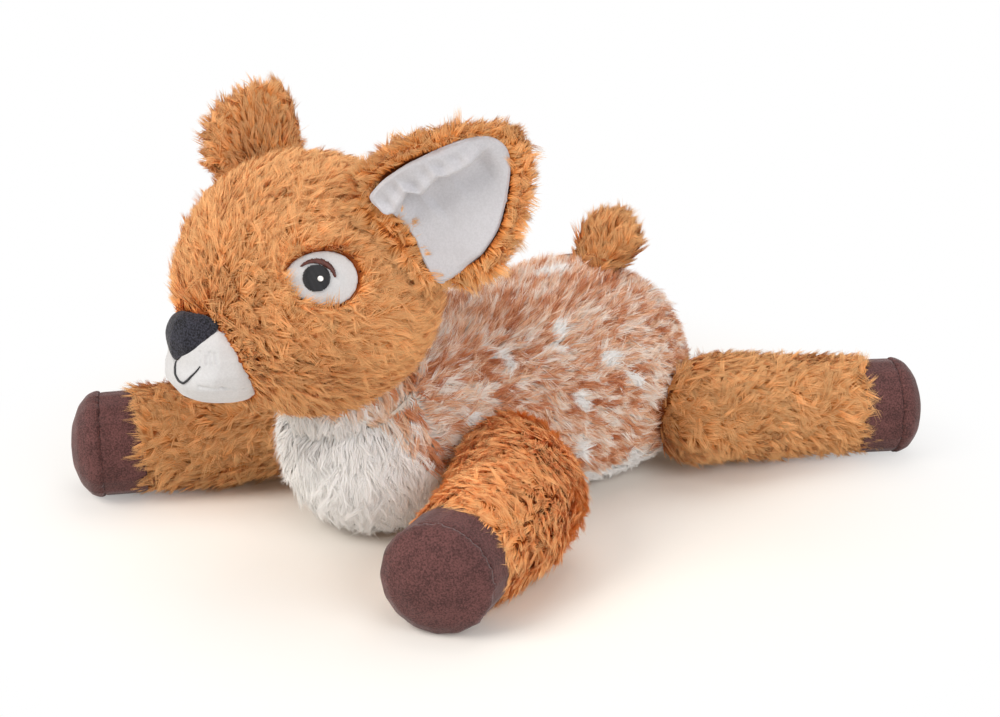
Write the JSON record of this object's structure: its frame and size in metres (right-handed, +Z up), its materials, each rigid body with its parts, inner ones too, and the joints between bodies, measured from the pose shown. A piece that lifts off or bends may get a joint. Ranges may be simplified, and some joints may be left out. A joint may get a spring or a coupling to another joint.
{
  "type": "plush deer",
  "caption": "Plush fawn lying on its belly, with a turning head, soft ears and tail, and splayed legs with suede hooves.",
  "frame": {"origin": "on the floor plane, in the middle of the flat belly", "axes": "+Z up, -Y the way the chest faces, +X the fawn's left"},
  "size_m": [0.2684, 0.367, 0.2071],
  "materials": {
    "ginger_fur": "long swirled pile",
    "spotted_fur": "long printed pile with pale spots",
    "white_fur": "long soft pile",
    "white_minky": "short smooth pile",
    "brown_suede": "matte short nap",
    "black_fleece": "matte fleece",
    "black_thread": "satin stitch",
    "brown_thread": "satin stitch",
    "white_thread": "satin stitch",
    "fibre_fill": "loose matte fibre",
    "pouch_cloth": "plain weave"
  },
  "bodies": {
    "body": {"back_cover": "spotted_fur", "belly_cover": "white_fur", "body_stuffing": "fibre_fill", "weight_pouch": "pouch_cloth"},
    "neck": {"neck_cuff": "ginger_fur", "neck_stuffing": "fibre_fill"},
    "head": {"head_cover": "ginger_fur", "head_stuffing": "fibre_fill", "muzzle_cover": "white_minky", "nose_patch": "black_fleece", "mouth_stitches": "black_thread", "left_eye_patch": "white_minky", "left_iris": "black_thread", "left_eye_glint": "white_thread", "left_eyelid": "brown_thread", "right_eye_patch": "white_minky", "right_iris": "black_thread", "right_eye_glint": "white_thread", "right_eyelid": "brown_thread"},
    "left_ear": {"left_ear_back": "ginger_fur", "left_ear_lining": "white_minky"},
    "right_ear": {"right_ear_back": "ginger_fur", "right_ear_lining": "white_minky"},
    "tail": {"tail_upper_panel": "ginger_fur", "tail_lower_panel": "ginger_fur"},
    "front_left_leg": {"front_left_leg_cover": "ginger_fur", "front_left_leg_stuffing": "fibre_fill", "front_left_hoof_band": "brown_suede", "front_left_hoof_sole": "brown_suede"},
    "front_right_leg": {"front_right_leg_cover": "ginger_fur", "front_right_leg_stuffing": "fibre_fill", "front_right_hoof_band": "brown_suede", "front_right_hoof_sole": "brown_suede"},
    "hind_left_leg": {"hind_left_leg_cover": "ginger_fur", "hind_left_leg_stuffing": "fibre_fill", "hind_left_hoof_band": "brown_suede", "hind_left_hoof_sole": "brown_suede"},
    "hind_right_leg": {"hind_right_leg_cover": "ginger_fur", "hind_right_leg_stuffing": "fibre_fill", "hind_right_hoof_band": "brown_suede", "hind_right_hoof_sole": "brown_suede"}
  },
  "joints": [
    {"name": "neck_turn", "type": "hinge", "parent": "body", "child": "neck", "pos_m": [0, -0.08056, 0.07789], "axis": [0, -0.342, 0.9397], "range_deg": [-25, 25]},
    {"name": "head_nod", "type": "hinge", "parent": "neck", "child": "head", "pos_m": [0, -0.08056, 0.07789], "axis": [0.9976, -0.0698, 0], "range_deg": [-8, 15]},
    {"name": "left_ear_flap", "type": "hinge", "parent": "head", "child": "left_ear", "pos_m": [0.05069, -0.08888, 0.15626], "axis": [0.3919, 0.5335, -0.7496], "range_deg": [-15, 25], "stiffness_Nm_per_rad": 0.1},
    {"name": "right_ear_flap", "type": "hinge", "parent": "head", "child": "right_ear", "pos_m": [-0.05723, -0.08534, 0.1401], "axis": [0.0588, -0.7372, 0.6731], "range_deg": [-15, 25], "stiffness_Nm_per_rad": 0.1},
    {"name": "tail_lift", "type": "hinge", "parent": "body", "child": "tail", "pos_m": [0, 0.07396, 0.09268], "axis": [1, 0, 0], "range_deg": [-30, 30], "stiffness_Nm_per_rad": 0.05},
    {"name": "front_left_leg_swing", "type": "hinge", "parent": "body", "child": "front_left_leg", "pos_m": [0.05527, -0.03004, 0.034], "axis": [0, 0, 1], "range_deg": [-12, 30], "stiffness_Nm_per_rad": 0.1},
    {"name": "front_right_leg_swing", "type": "hinge", "parent": "body", "child": "front_right_leg", "pos_m": [-0.0521, -0.06204, 0.034], "axis": [0, 0, -1], "range_deg": [-12, 30], "stiffness_Nm_per_rad": 0.1},
    {"name": "hind_left_leg_swing", "type": "hinge", "parent": "body", "child": "hind_left_leg", "pos_m": [0.05764, 0.08796, 0.032], "axis": [0, 0, 1], "range_deg": [-30, 15], "stiffness_Nm_per_rad": 0.1},
    {"name": "hind_right_leg_swing", "type": "hinge", "parent": "body", "child": "hind_right_leg", "pos_m": [-0.05764, 0.08796, 0.032], "axis": [0, 0, -1], "range_deg": [-30, 15], "stiffness_Nm_per_rad": 0.1}
  ]
}
